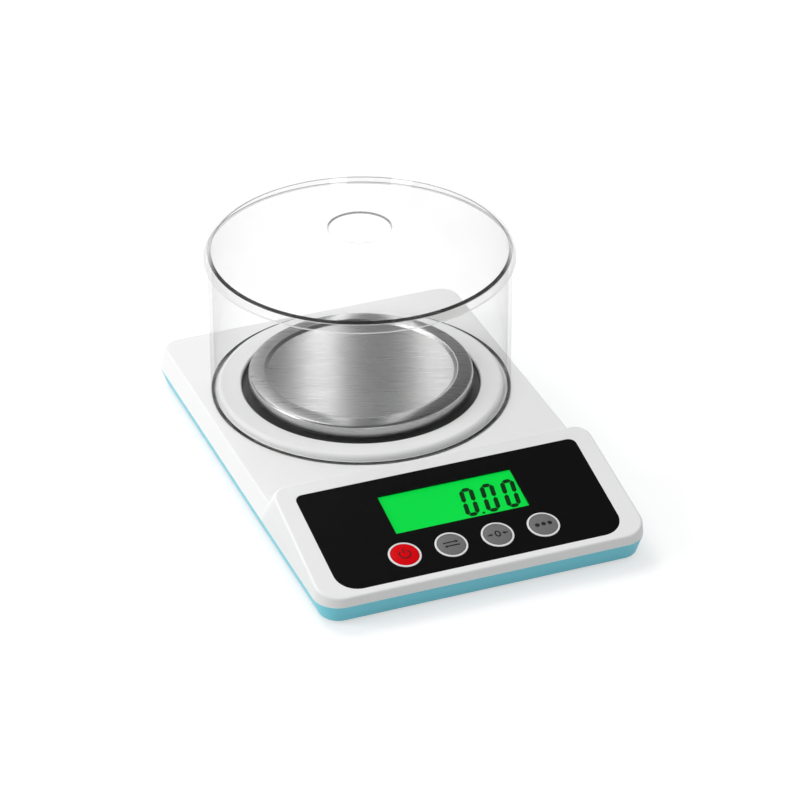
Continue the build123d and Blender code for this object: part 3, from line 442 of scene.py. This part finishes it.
def smooth(mesh_data, angle=35.0):
    """Smooth shading with hard edges where faces turn by more than the angle."""
    form = bmesh.new()
    form.from_mesh(mesh_data)
    for face in form.faces:
        face.smooth = True
    for edge in form.edges:
        edge.smooth = len(edge.link_faces) == 2 and edge.calc_face_angle() < math.radians(angle)
    form.to_mesh(mesh_data)
    form.free()


def rounded(corner, before, after, radius, steps=5):
    """Points of an arc that rounds a corner of an outline."""
    corner, before, after = Vector(corner), Vector(before), Vector(after)
    u = (before - corner).normalized()
    v = (after - corner).normalized()
    half = u.angle(v) / 2
    reach = radius / math.tan(half)
    centre = corner + (u + v).normalized() * radius / math.sin(half)
    start, end = corner + u * reach - centre, corner + v * reach - centre
    sweep = start.angle(end)
    points = []
    for i in range(steps + 1):
        k = i / steps
        blend = (start * math.sin((1 - k) * sweep) + end * math.sin(k * sweep)) / math.sin(sweep)
        points.append(tuple(centre + blend))
    return points


def rounded_outline(points):
    """An outline of (x, y) or (x, y, radius) points, with arcs where a radius is given."""
    made = []
    for i, point in enumerate(points):
        if len(point) == 2:
            made.append(point)
        else:
            before, after = points[i - 1][:2], points[(i + 1) % len(points)][:2]
            made += rounded(point[:2], before, after, point[2])
    return made


# Console frame: across, up the slope, and out of the skin
press = next(j for j in frame["joints"] if j["name"] == "power_press")
OUT = -Vector(press["axis"]).normalized()
ACROSS = Vector((1, 0, 0))
UP_SLOPE = OUT.cross(ACROSS)
CONSOLE_TURN = Matrix((ACROSS, UP_SLOPE, OUT)).transposed().to_4x4()


def console_box(node):
    """Lowest and highest corners of a node in the console's own frame."""
    points = [(v.co.dot(ACROSS), v.co.dot(UP_SLOPE), v.co.dot(OUT)) for v in nodes[node].data.vertices]
    return Vector(map(min, zip(*points))), Vector(map(max, zip(*points)))


def console_prints(name, outlines, level):
    """Printed shapes in the console's frame: thin prisms that start at level(x, y)."""
    form = bmesh.new()
    for outline in outlines:
        bottom = [form.verts.new((x, y, level(x, y))) for x, y in outline]
        top = [form.verts.new((x, y, level(x, y) + INK_T)) for x, y in outline]
        form.faces.new(top)
        form.faces.new(bottom[::-1])
        for i in range(len(outline)):
            k = (i + 1) % len(outline)
            form.faces.new((bottom[i], bottom[k], top[k], top[i]))
    bmesh.ops.recalc_face_normals(form, faces=form.faces)
    mesh_data = bpy.data.meshes.new(name)
    form.to_mesh(mesh_data)
    form.free()
    mesh_data.transform(CONSOLE_TURN)
    return mesh_data


def shield_tube(wall, edge_painted_shade, edge_painted_highlight):
    """Clear tube with painted shade on the top bevel and foot edge, and a painted highlight ring under the
    bevel.
    """
    low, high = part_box("draft_shield")
    axis_at = (low + high) / 2
    outer = (high.x - low.x) / 2
    inner = outer - SHIELD_WALL
    bevel_low = high.z - SHIELD_BEVEL
    outline = [
        (inner + SHIELD_FOOT_EDGE, low.z),
        (outer - SHIELD_FOOT_EDGE, low.z),
        (outer, low.z + SHIELD_FOOT_EDGE),
        (outer, bevel_low - SHIELD_PAINTED_GLINT),
        (outer - SHIELD_PAINTED_GLINT / 2, bevel_low),
        (inner + SHIELD_PAINTED_GLINT / 2, high.z),
        (inner, high.z - SHIELD_PAINTED_GLINT / 2),
        (inner, low.z + SHIELD_FOOT_EDGE),
    ]
    mesh_data = turned("shield_tube", outline, axis_at)
    # Painted shade: dark colour on the top bevel and on the foot's edge
    paint_turned(mesh_data, axis_at, 1, lambda r, z: z > bevel_low or z < low.z + SHIELD_FOOT_EDGE)
    painted_glint_low = bevel_low - SHIELD_PAINTED_GLINT
    # Painted highlight: a light ring under the top bevel
    paint_turned(mesh_data, axis_at, 2, lambda r, z: painted_glint_low < z < bevel_low and r > inner + MM)
    tube = add_piece("shield_tube", mesh_data, (wall, edge_painted_shade, edge_painted_highlight), "shield")
    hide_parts("draft_shield")


def shield_cover(sheet, edge_painted_shade, edge_painted_highlight):
    """Clear domed lid with painted shade on the finger hole's bevel and a painted highlight on the skirt's
    lower edge.
    """
    seat_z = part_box("draft_shield")[1].z
    outer = (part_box("draft_shield")[1].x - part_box("draft_shield")[0].x) / 2
    low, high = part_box("shield_lid")
    axis_at = (low + high) / 2
    lid_r = (high.x - low.x) / 2
    land = outer - SHIELD_WALL - LID_SKIRT_GAP
    skirt_in = outer + LID_SKIRT_GAP
    skirt_low = seat_z - LID_SKIRT_H
    rise = high.z - seat_z - LID_T
    ball_r = math.hypot(LID_HOLE_R, (lid_r**2 - LID_HOLE_R**2 - rise**2) / (2 * rise))
    centre_z = high.z - math.sqrt(ball_r**2 - LID_HOLE_R**2)

    def dome(r, drop):
        """Height of the dome at a radius: a ball's cap through the hole's rim, or one that much smaller."""
        return centre_z + math.sqrt((ball_r - drop) ** 2 - r**2)

    def stations(start, end):
        return [start + (end - start) * i / LID_DOME_STEPS for i in range(LID_DOME_STEPS + 1)]

    bevel_out = LID_HOLE_R + LID_HOLE_BEVEL
    bevel_low = dome(bevel_out, 0) - LID_HOLE_BEVEL
    outline = rounded_outline(
        [(lid_r - LID_PAINTED_GLINT / 2, skirt_low), (lid_r, skirt_low + LID_PAINTED_GLINT)]
        + [(lid_r, dome(lid_r, 0), LID_EDGE_R)]
        + [(r, dome(r, 0)) for r in stations(lid_r, bevel_out)[2:]]
        + [(LID_HOLE_R, bevel_low), (LID_HOLE_R, dome(LID_HOLE_R, LID_T))]
        + [(r, dome(r, LID_T)) for r in stations(LID_HOLE_R, land)[1:]]
        + [(land, seat_z), (skirt_in, seat_z), (skirt_in, skirt_low)]
    )
    mesh_data = turned("shield_cover", outline, axis_at)
    # Painted shade on the finger hole's bevel
    paint_turned(mesh_data, axis_at, 1, lambda r, z: LID_HOLE_R + 0.1 * MM < r < bevel_out and z > bevel_low)
    # Painted highlight on the skirt's lower edge
    paint_turned(mesh_data, axis_at, 2, lambda r, z: z < skirt_low + LID_PAINTED_GLINT)
    lid = add_piece("shield_cover", mesh_data, (sheet, edge_painted_shade, edge_painted_highlight), "lid")
    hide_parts("shield_lid")


def pan_piece(brushed, spun):
    """Pressed dish with a step, a rounded edge and a rolled hem."""
    low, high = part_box("weighing_pan")
    axis_at = (low + high) / 2
    pan_r = (high.x - low.x) / 2
    top_z = high.z
    middle_z = top_z - PAN_RECESS
    rim_z = top_z - PAN_RIM_RISE
    step_in = PAN_STEP_R - PAN_STEP_W
    t = PAN_SHEET
    hem_z = low.z + 2 * PAN_HEM_R
    hem_in = pan_r - 2 * PAN_HEM_R
    outline = rounded_outline([
        (0, middle_z),
        (step_in, middle_z, PAN_STEP_FOOT_R),
        (PAN_STEP_R, top_z, PAN_STEP_TOP_R),
        (pan_r, rim_z, PAN_EDGE_R),
        (pan_r, low.z, PAN_HEM_R * 0.98),
        (hem_in, low.z, PAN_HEM_R * 0.98),
        (hem_in, hem_z, PAN_HEM_R * 0.5),
        (pan_r - t, hem_z),
        (pan_r - t, rim_z - t, PAN_EDGE_R - t),
        (PAN_STEP_R + t / 4, top_z - t),
        (step_in + t / 4, middle_z - t),
        (0, middle_z - t),
    ])
    mesh_data = turned("pan_dish", outline, axis_at)
    brush_turn = math.radians(PAN_BRUSH_TURN + 90)
    across = Vector((math.cos(brush_turn), math.sin(brush_turn)))
    along = Vector((across.y, -across.x))
    brush = mesh_data.uv_layers.new(name="brush")
    for loop in mesh_data.loops:
        spot = mesh_data.vertices[loop.vertex_index].co.xy
        brush.data[loop.index].uv = (spot.dot(across) * PAN_BRUSH_UV, spot.dot(along) * PAN_BRUSH_UV)
    edge = PAN_EDGE_R * 0.4
    paint_turned(mesh_data, axis_at, 1, lambda r, z: r > pan_r - edge or z < rim_z - edge)
    pan = add_piece("pan_dish", mesh_data, (brushed, spun), "pan")
    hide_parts("weighing_pan")


def bar(x0, y0, x1, y1, stroke):
    """A straight display segment with pointed ends."""
    a, b = Vector((x0, y0)), Vector((x1, y1))
    along = (b - a).normalized()
    side = Vector((-along.y, along.x)) * stroke / 2
    tip = along * stroke / 2
    return [a, a + tip + side, b - tip + side, b, b - tip - side, a + tip - side]


def figure_zero(left, base):
    """The six lit segments of a leaning zero, from its lower left corner."""
    s = FIGURE_STROKE
    g = FIGURE_GAP
    x0, x1 = left + s / 2, left + FIGURE_W - s / 2
    y0, y1 = base + s / 2, base + FIGURE_H - s / 2
    y_mid = base + FIGURE_H / 2
    bars = [
        bar(x0 + g, y0, x1 - g, y0, s),
        bar(x0 + g, y1, x1 - g, y1, s),
        bar(x0, y0 + g, x0, y_mid - g, s),
        bar(x0, y_mid + g, x0, y1 - g, s),
        bar(x1, y0 + g, x1, y_mid - g, s),
        bar(x1, y_mid + g, x1, y1 - g, s),
    ]
    return [[(x + (y - base) * FIGURE_LEAN, y) for x, y in outline] for outline in bars]


def disc(x, y, radius, steps=16):
    """A round outline."""
    turns = [2 * math.pi * i / steps for i in range(steps)]
    return [(x + radius * math.cos(t), y + radius * math.sin(t)) for t in turns]


def display_figures(ink):
    """Figures on the lit screen, behind the window."""
    window_low, window_high = console_box("display_window")
    level = console_box("lcd_glass")[1].z + INK_T / 4
    base = window_low.y + FIGURE_BASE
    right = window_high.x - FIGURE_RIGHT
    outlines = []
    for i in range(3):
        outlines += figure_zero(right - FIGURE_W - i * FIGURE_PITCH, base)
    point_x = right - FIGURE_W - FIGURE_PITCH - (FIGURE_PITCH - FIGURE_W) / 2
    outlines.append(disc(point_x, base + FIGURE_POINT / 2, FIGURE_POINT / 2))
    mesh_data = console_prints("figures", outlines, lambda x, y: level)
    add_piece("figures", mesh_data, (ink,), "body")


def strip(points, width, closed=False):
    """Quads along a line of points, which make a stroke of even width."""
    points = [Vector(p) for p in points]
    count = len(points)
    sides = []
    for i, p in enumerate(points):
        before = points[i - 1] if closed or i > 0 else p
        after = points[(i + 1) % count] if closed or i < count - 1 else p
        along = (after - before).normalized()
        side = Vector((-along.y, along.x)) * width / 2
        sides.append((p + side, p - side))
    quads = []
    for i in range(count if closed else count - 1):
        k = (i + 1) % count
        quads.append([tuple(sides[i][0]), tuple(sides[i][1]), tuple(sides[k][1]), tuple(sides[k][0])])
    return quads


def line(x0, y0, x1, y1):
    """Points of a straight stroke, close enough together to follow a cap's crown."""
    steps = max(1, round(math.hypot(x1 - x0, y1 - y0) / SIGN_STEP))
    return [(x0 + (x1 - x0) * i / steps, y0 + (y1 - y0) * i / steps) for i in range(steps + 1)]


def oval(radius_x, radius_y, start=0.0, end=360.0, steps=36):
    """Points of an arc about the cap's middle, from one angle to another."""
    turns = [math.radians(start + (end - start) * i / steps) for i in range(steps + 1)]
    return [(radius_x * math.cos(t), radius_y * math.sin(t)) for t in turns]


def arrow(x0, x1, y):
    """An arrow across the cap from x0 to x1."""
    way = 1 if x1 > x0 else -1
    back = x1 - way * ARROW_HEAD
    shaft = strip(line(x0, y, back + way * ARROW_OVERLAP, y), SIGN_STROKE)
    point = [(x1, y), (back, y + ARROW_HALF_W), (back, y - ARROW_HALF_W)]
    return shaft + [point]


def power_sign():
    """An open ring with a bar in its gap."""
    ring = oval(POWER_R, POWER_R, 90 + POWER_GAP, 450 - POWER_GAP)
    return strip(ring, SIGN_STROKE) + strip(line(0, POWER_BAR[0], 0, POWER_BAR[1]), SIGN_STROKE)


def mode_sign():
    """Two arrows that pass each other."""
    return arrow(-MODE_REACH, MODE_REACH, MODE_ROW) + arrow(MODE_REACH, -MODE_REACH, -MODE_ROW)


def tare_sign():
    """A zero between two arrows."""
    zero = strip(oval(*TARE_ZERO)[:-1], SIGN_STROKE, closed=True)
    return zero + arrow(-TARE_FAR, -TARE_NEAR, 0) + arrow(TARE_FAR, TARE_NEAR, 0)


def count_sign():
    """Three pieces in a row."""
    return [disc(i * COUNT_PITCH, 0, COUNT_R) for i in (-1, 0, 1)]


def button_sign(button, body, outlines, ink):
    """A sign printed on a cap's crown."""
    low, high = console_box(button)
    middle_x, middle_y = (low.x + high.x) / 2, (low.y + high.y) / 2
    crown_r = (CAP_R**2 + CAP_CROWN**2) / (2 * CAP_CROWN)

    def level(x, y):
        reach = math.hypot(x - middle_x, y - middle_y)
        return high.z - crown_r + math.sqrt(crown_r**2 - reach**2) + INK_T / 4

    placed = [[(middle_x + x, middle_y + y) for x, y in outline] for outline in outlines]
    mesh_data = console_prints(f"{body}_sign", placed, level)
    add_piece(f"{body}_sign", mesh_data, (ink,), body)


# Finishes
white_plastic = housing_white()
blue_plastic = surface("blue_plastic", TRAY_BLUE, 0.45, grain=(2500.0, 0.000004), vary=0.015)
black_film = surface("black_film", PANEL_BLACK, 0.35, grain=(1800.0, 0.000001), vary=0.06, specular=0.07)
ring_white = surface("ring_white", (0.78, 0.78, 0.78), 0.35)
red_cap = surface("red_cap", (0.66, 0.0006, 0.004), 0.3, grain=(2500.0, 0.000002), vary=0.02, specular=0.05)
grey_cap = surface("grey_cap", (0.16, 0.16, 0.16), 0.35, grain=(2500.0, 0.000002), vary=0.05, specular=0.2)
dark_plastic = surface("dark_plastic", (0.02, 0.02, 0.02), 0.45, grain=(1500.0, 0.000004), vary=0.1)
board_green = surface("board_green", (0.02, 0.13, 0.05), 0.35, vary=0.15)
zinc = surface("zinc", (0.62, 0.62, 0.6), 0.32, metallic=1.0, vary=0.06)
aluminium = surface("aluminium", (0.72, 0.73, 0.74), 0.35, metallic=1.0, vary=0.04, grain=(700.0, 0.00001))
cast_metal = surface("cast_metal", (0.45, 0.45, 0.46), 0.55, metallic=1.0, vary=0.08, grain=(1500.0, 0.00003))
silicone = surface("silicone", (0.55, 0.55, 0.52), 0.6)
foot_rubber = surface("foot_rubber", (0.03, 0.03, 0.03), 0.8, grain=(2000.0, 0.00002), vary=0.15)
sleeve = surface("sleeve", (0.05, 0.05, 0.06), 0.3)
nickel = surface("nickel", (0.7, 0.68, 0.62), 0.3, metallic=1.0)
tube_wall = clear_sheet("tube_wall", 0.99, 0.1, 0.008)
lid_sheet = clear_sheet("lid_sheet", 0.985, 0.07, 0.002)
window_film = clear_sheet("window_film", 0.99, 0.02, 0.004)
# Painted shade on the tube's top bevel and foot, for the dark refracted ring and the contact shadow
tube_edge_painted_shade = edge_painted_light("tube_edge_painted_shade", (0.03, 0.03, 0.03), 0.97, 0.08)
# Painted shade on the bevel of the lid's finger hole
hole_edge_painted_shade = edge_painted_light("hole_edge_painted_shade", (0.12, 0.12, 0.12), 0.75, 0.3)
# Painted highlight: light colour for the ring under the tube's bevel and for the skirt's lower edge
edge_painted_highlight = edge_painted_light("edge_painted_highlight", (0.9, 0.9, 0.9), 0.75, 0.3)
screen_green = lit("screen_green", LIT_GREEN, 0.6, 0.04)
figure_ink = surface("figure_ink", (0.0005, 0.035, 0.004), 0.5, specular=0.1)
sign_black = surface("sign_black", (0.012, 0.012, 0.012), 0.5, specular=0.2)
sign_dark_red = surface("sign_dark_red", (0.09, 0.001, 0.003), 0.5, specular=0.2)

for node, made in {
    "upper_housing": white_plastic,
    "lower_housing": blue_plastic,
    "battery_door": blue_plastic,
    "front_panel": black_film,
    "display_window": window_film,
    "button_rings": ring_white,
    "power_button": red_cap,
    "mode_button": grey_cap,
    "tare_button": grey_cap,
    "count_button": grey_cap,
    "tact_switches": dark_plastic,
    "lcd_glass": screen_green,
    "lcd_backlight": screen_green,
    "lcd_frame": dark_plastic,
    "display_board": board_green,
    "converter_board": board_green,
    "display_board_screws": zinc,
    "load_cell": aluminium,
    "gauge_covers": silicone,
    "load_cell_spacer": zinc,
    "load_cell_screws": zinc,
    "overload_stop": zinc,
    "pan_support": cast_metal,
    "support_pads": silicone,
    "support_screws": zinc,
    "shielding_can": zinc,
    "converter_screws": zinc,
    "dc_socket": dark_plastic,
    "battery_cells": sleeve,
    "battery_contacts": nickel,
    "rubber_feet": foot_rubber,
    "housing_screws": zinc,
}.items():
    dress(node, made)
for name in ("power", "mode", "tare", "count"):
    dress(f"{name}_switch_plunger", dark_plastic)

shield_tube(tube_wall, tube_edge_painted_shade, edge_painted_highlight)
shield_cover(lid_sheet, hole_edge_painted_shade, edge_painted_highlight)
pan_piece(brushed_steel(), spun_steel())
display_figures(figure_ink)
button_sign("power_button", "power", power_sign(), sign_dark_red)
button_sign("mode_button", "mode", mode_sign(), sign_black)
button_sign("tare_button", "tare", tare_sign(), sign_black)
button_sign("count_button", "count", count_sign(), sign_black)


def view_axes():
    """The camera's right, up and back directions."""
    yaw, elevation, roll = (math.radians(d) for d in (CAMERA_YAW, CAMERA_ELEVATION, CAMERA_ROLL))
    back = Vector((
        math.sin(yaw) * math.cos(elevation),
        -math.cos(yaw) * math.cos(elevation),
        math.sin(elevation),
    ))
    level_right = Vector((math.cos(yaw), math.sin(yaw), 0))
    level_up = back.cross(level_right)
    right = level_right * math.cos(roll) + level_up * math.sin(roll)
    up = level_up * math.cos(roll) - level_right * math.sin(roll)
    return right, up, back


def make_camera():
    """The camera of the photograph."""
    right, up, back = view_axes()
    camera = bpy.data.objects.new("camera", bpy.data.cameras.new("camera"))
    bpy.context.scene.collection.objects.link(camera)
    place = CAMERA_TARGET - right * CAMERA_SLIDE[0] - up * CAMERA_SLIDE[1] + back * CAMERA_DISTANCE
    turn = Matrix((right, up, back)).transposed().to_4x4()
    camera.matrix_world = Matrix.Translation(place) @ turn
    camera.data.sensor_width = 36
    camera.data.lens = CAMERA_LENS_WIDTHS * 36
    camera.data.clip_end = 50
    bpy.context.scene.camera = camera


def plainly_seen(tree_nodes, links):
    """The light path node, and 1 for camera and transmission rays, else 0."""
    rays = tree_nodes.new("ShaderNodeLightPath")
    straight = math_node(
        tree_nodes, links, "MAXIMUM", rays.outputs["Is Camera Ray"], rays.outputs["Is Transmission Ray"]
    )
    return rays, straight


def make_world():
    """Even ambient light; the camera sees plain white, and metal sees the white sweep under a dimmer room."""
    world = bpy.data.worlds.new("studio")
    bpy.context.scene.world = world
    world.use_nodes = True
    tree_nodes, links = world.node_tree.nodes, world.node_tree.links
    rays, straight = plainly_seen(tree_nodes, links)
    place = tree_nodes.new("ShaderNodeTexCoord")
    split = tree_nodes.new("ShaderNodeSeparateXYZ")
    links.new(place.outputs["Generated"], split.inputs["Vector"])
    sweep = ranged(tree_nodes, links, split.outputs["Z"], 1.0, ROOM, SWEEP_LOW, SWEEP_HIGH)
    strength = math_node(tree_nodes, links, "MULTIPLY", rays.outputs["Is Glossy Ray"], sweep)
    plain = math_node(tree_nodes, links, "SUBTRACT", 1.0, rays.outputs["Is Glossy Ray"])
    ambient = math_node(tree_nodes, links, "MULTIPLY", plain, AMBIENT)
    strength = math_node(tree_nodes, links, "ADD", strength, ambient)
    background = tree_nodes["Background"]
    background.inputs["Color"].default_value = (1, 1, 1, 1)
    links.new(math_node(tree_nodes, links, "MAXIMUM", strength, straight), background.inputs["Strength"])


def make_floor():
    """White table: shaded by the object, lifted to plain white elsewhere, and clear from below."""
    mesh_data = bpy.data.meshes.new("table")
    h = FLOOR_HALF
    mesh_data.from_pydata([(-h, -h, 0), (h, -h, 0), (h, h, 0), (-h, h, 0)], [], [(0, 1, 2, 3)])
    floor = bpy.data.objects.new("table", mesh_data)
    bpy.context.scene.collection.objects.link(floor)
    made, tree_nodes, links, shader = new_material("table_white")
    rays, straight = plainly_seen(tree_nodes, links)
    seen = math_node(tree_nodes, links, "MAXIMUM", straight, rays.outputs["Is Glossy Ray"])
    shader.inputs["Base Color"].default_value = (FLOOR_WHITE, FLOOR_WHITE, FLOOR_WHITE, 1)
    shader.inputs["Roughness"].default_value = 0.9
    shader.inputs["Specular IOR Level"].default_value = 0.0
    shader.inputs["Emission Color"].default_value = (1, 1, 1, 1)
    links.new(math_node(tree_nodes, links, "MULTIPLY", seen, FLOOR_LIFT), shader.inputs["Emission Strength"])
    side = tree_nodes.new("ShaderNodeNewGeometry")
    see_through = tree_nodes.new("ShaderNodeBsdfTransparent")
    blend_shaders(tree_nodes, links, side.outputs["Backfacing"], shader, see_through)
    mesh_data.materials.append(made)


def soft_box(name, place, target, size, power, seen=True):
    """A rectangular lamp that faces a target."""
    lamp = bpy.data.lights.new(name, "AREA")
    lamp.shape = "RECTANGLE"
    lamp.size, lamp.size_y = size
    lamp.energy = power
    holder = bpy.data.objects.new(name, lamp)
    bpy.context.scene.collection.objects.link(holder)
    holder.location = place
    holder.rotation_mode = "QUATERNION"
    holder.rotation_quaternion = (Vector(target) - Vector(place)).to_track_quat("-Z", "Y")
    holder.visible_camera = seen


def pan_strip(name, aside, width, power):
    """A narrow upright lamp behind the balance that draws a light band on the pan."""
    right, up, back = view_axes()
    low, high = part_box("weighing_pan")
    pan_top = Vector(((low.x + high.x) / 2, (low.y + high.y) / 2, high.z))
    away = Vector((-back.x, -back.y, back.z))
    place = pan_top + right * aside + away * STRIP_REACH
    soft_box(name, place, pan_top + right * aside, (width, STRIP_H), power, seen=False)


make_camera()
make_world()
make_floor()
for name, place, size, power in LAMPS:
    soft_box(name, place, LAMP_TARGET, size, power)
for name, aside, width, power in PAN_STRIPS:
    pan_strip(name, aside, width, power)

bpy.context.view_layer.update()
scene = bpy.context.scene
scene.view_settings.view_transform = "Standard"
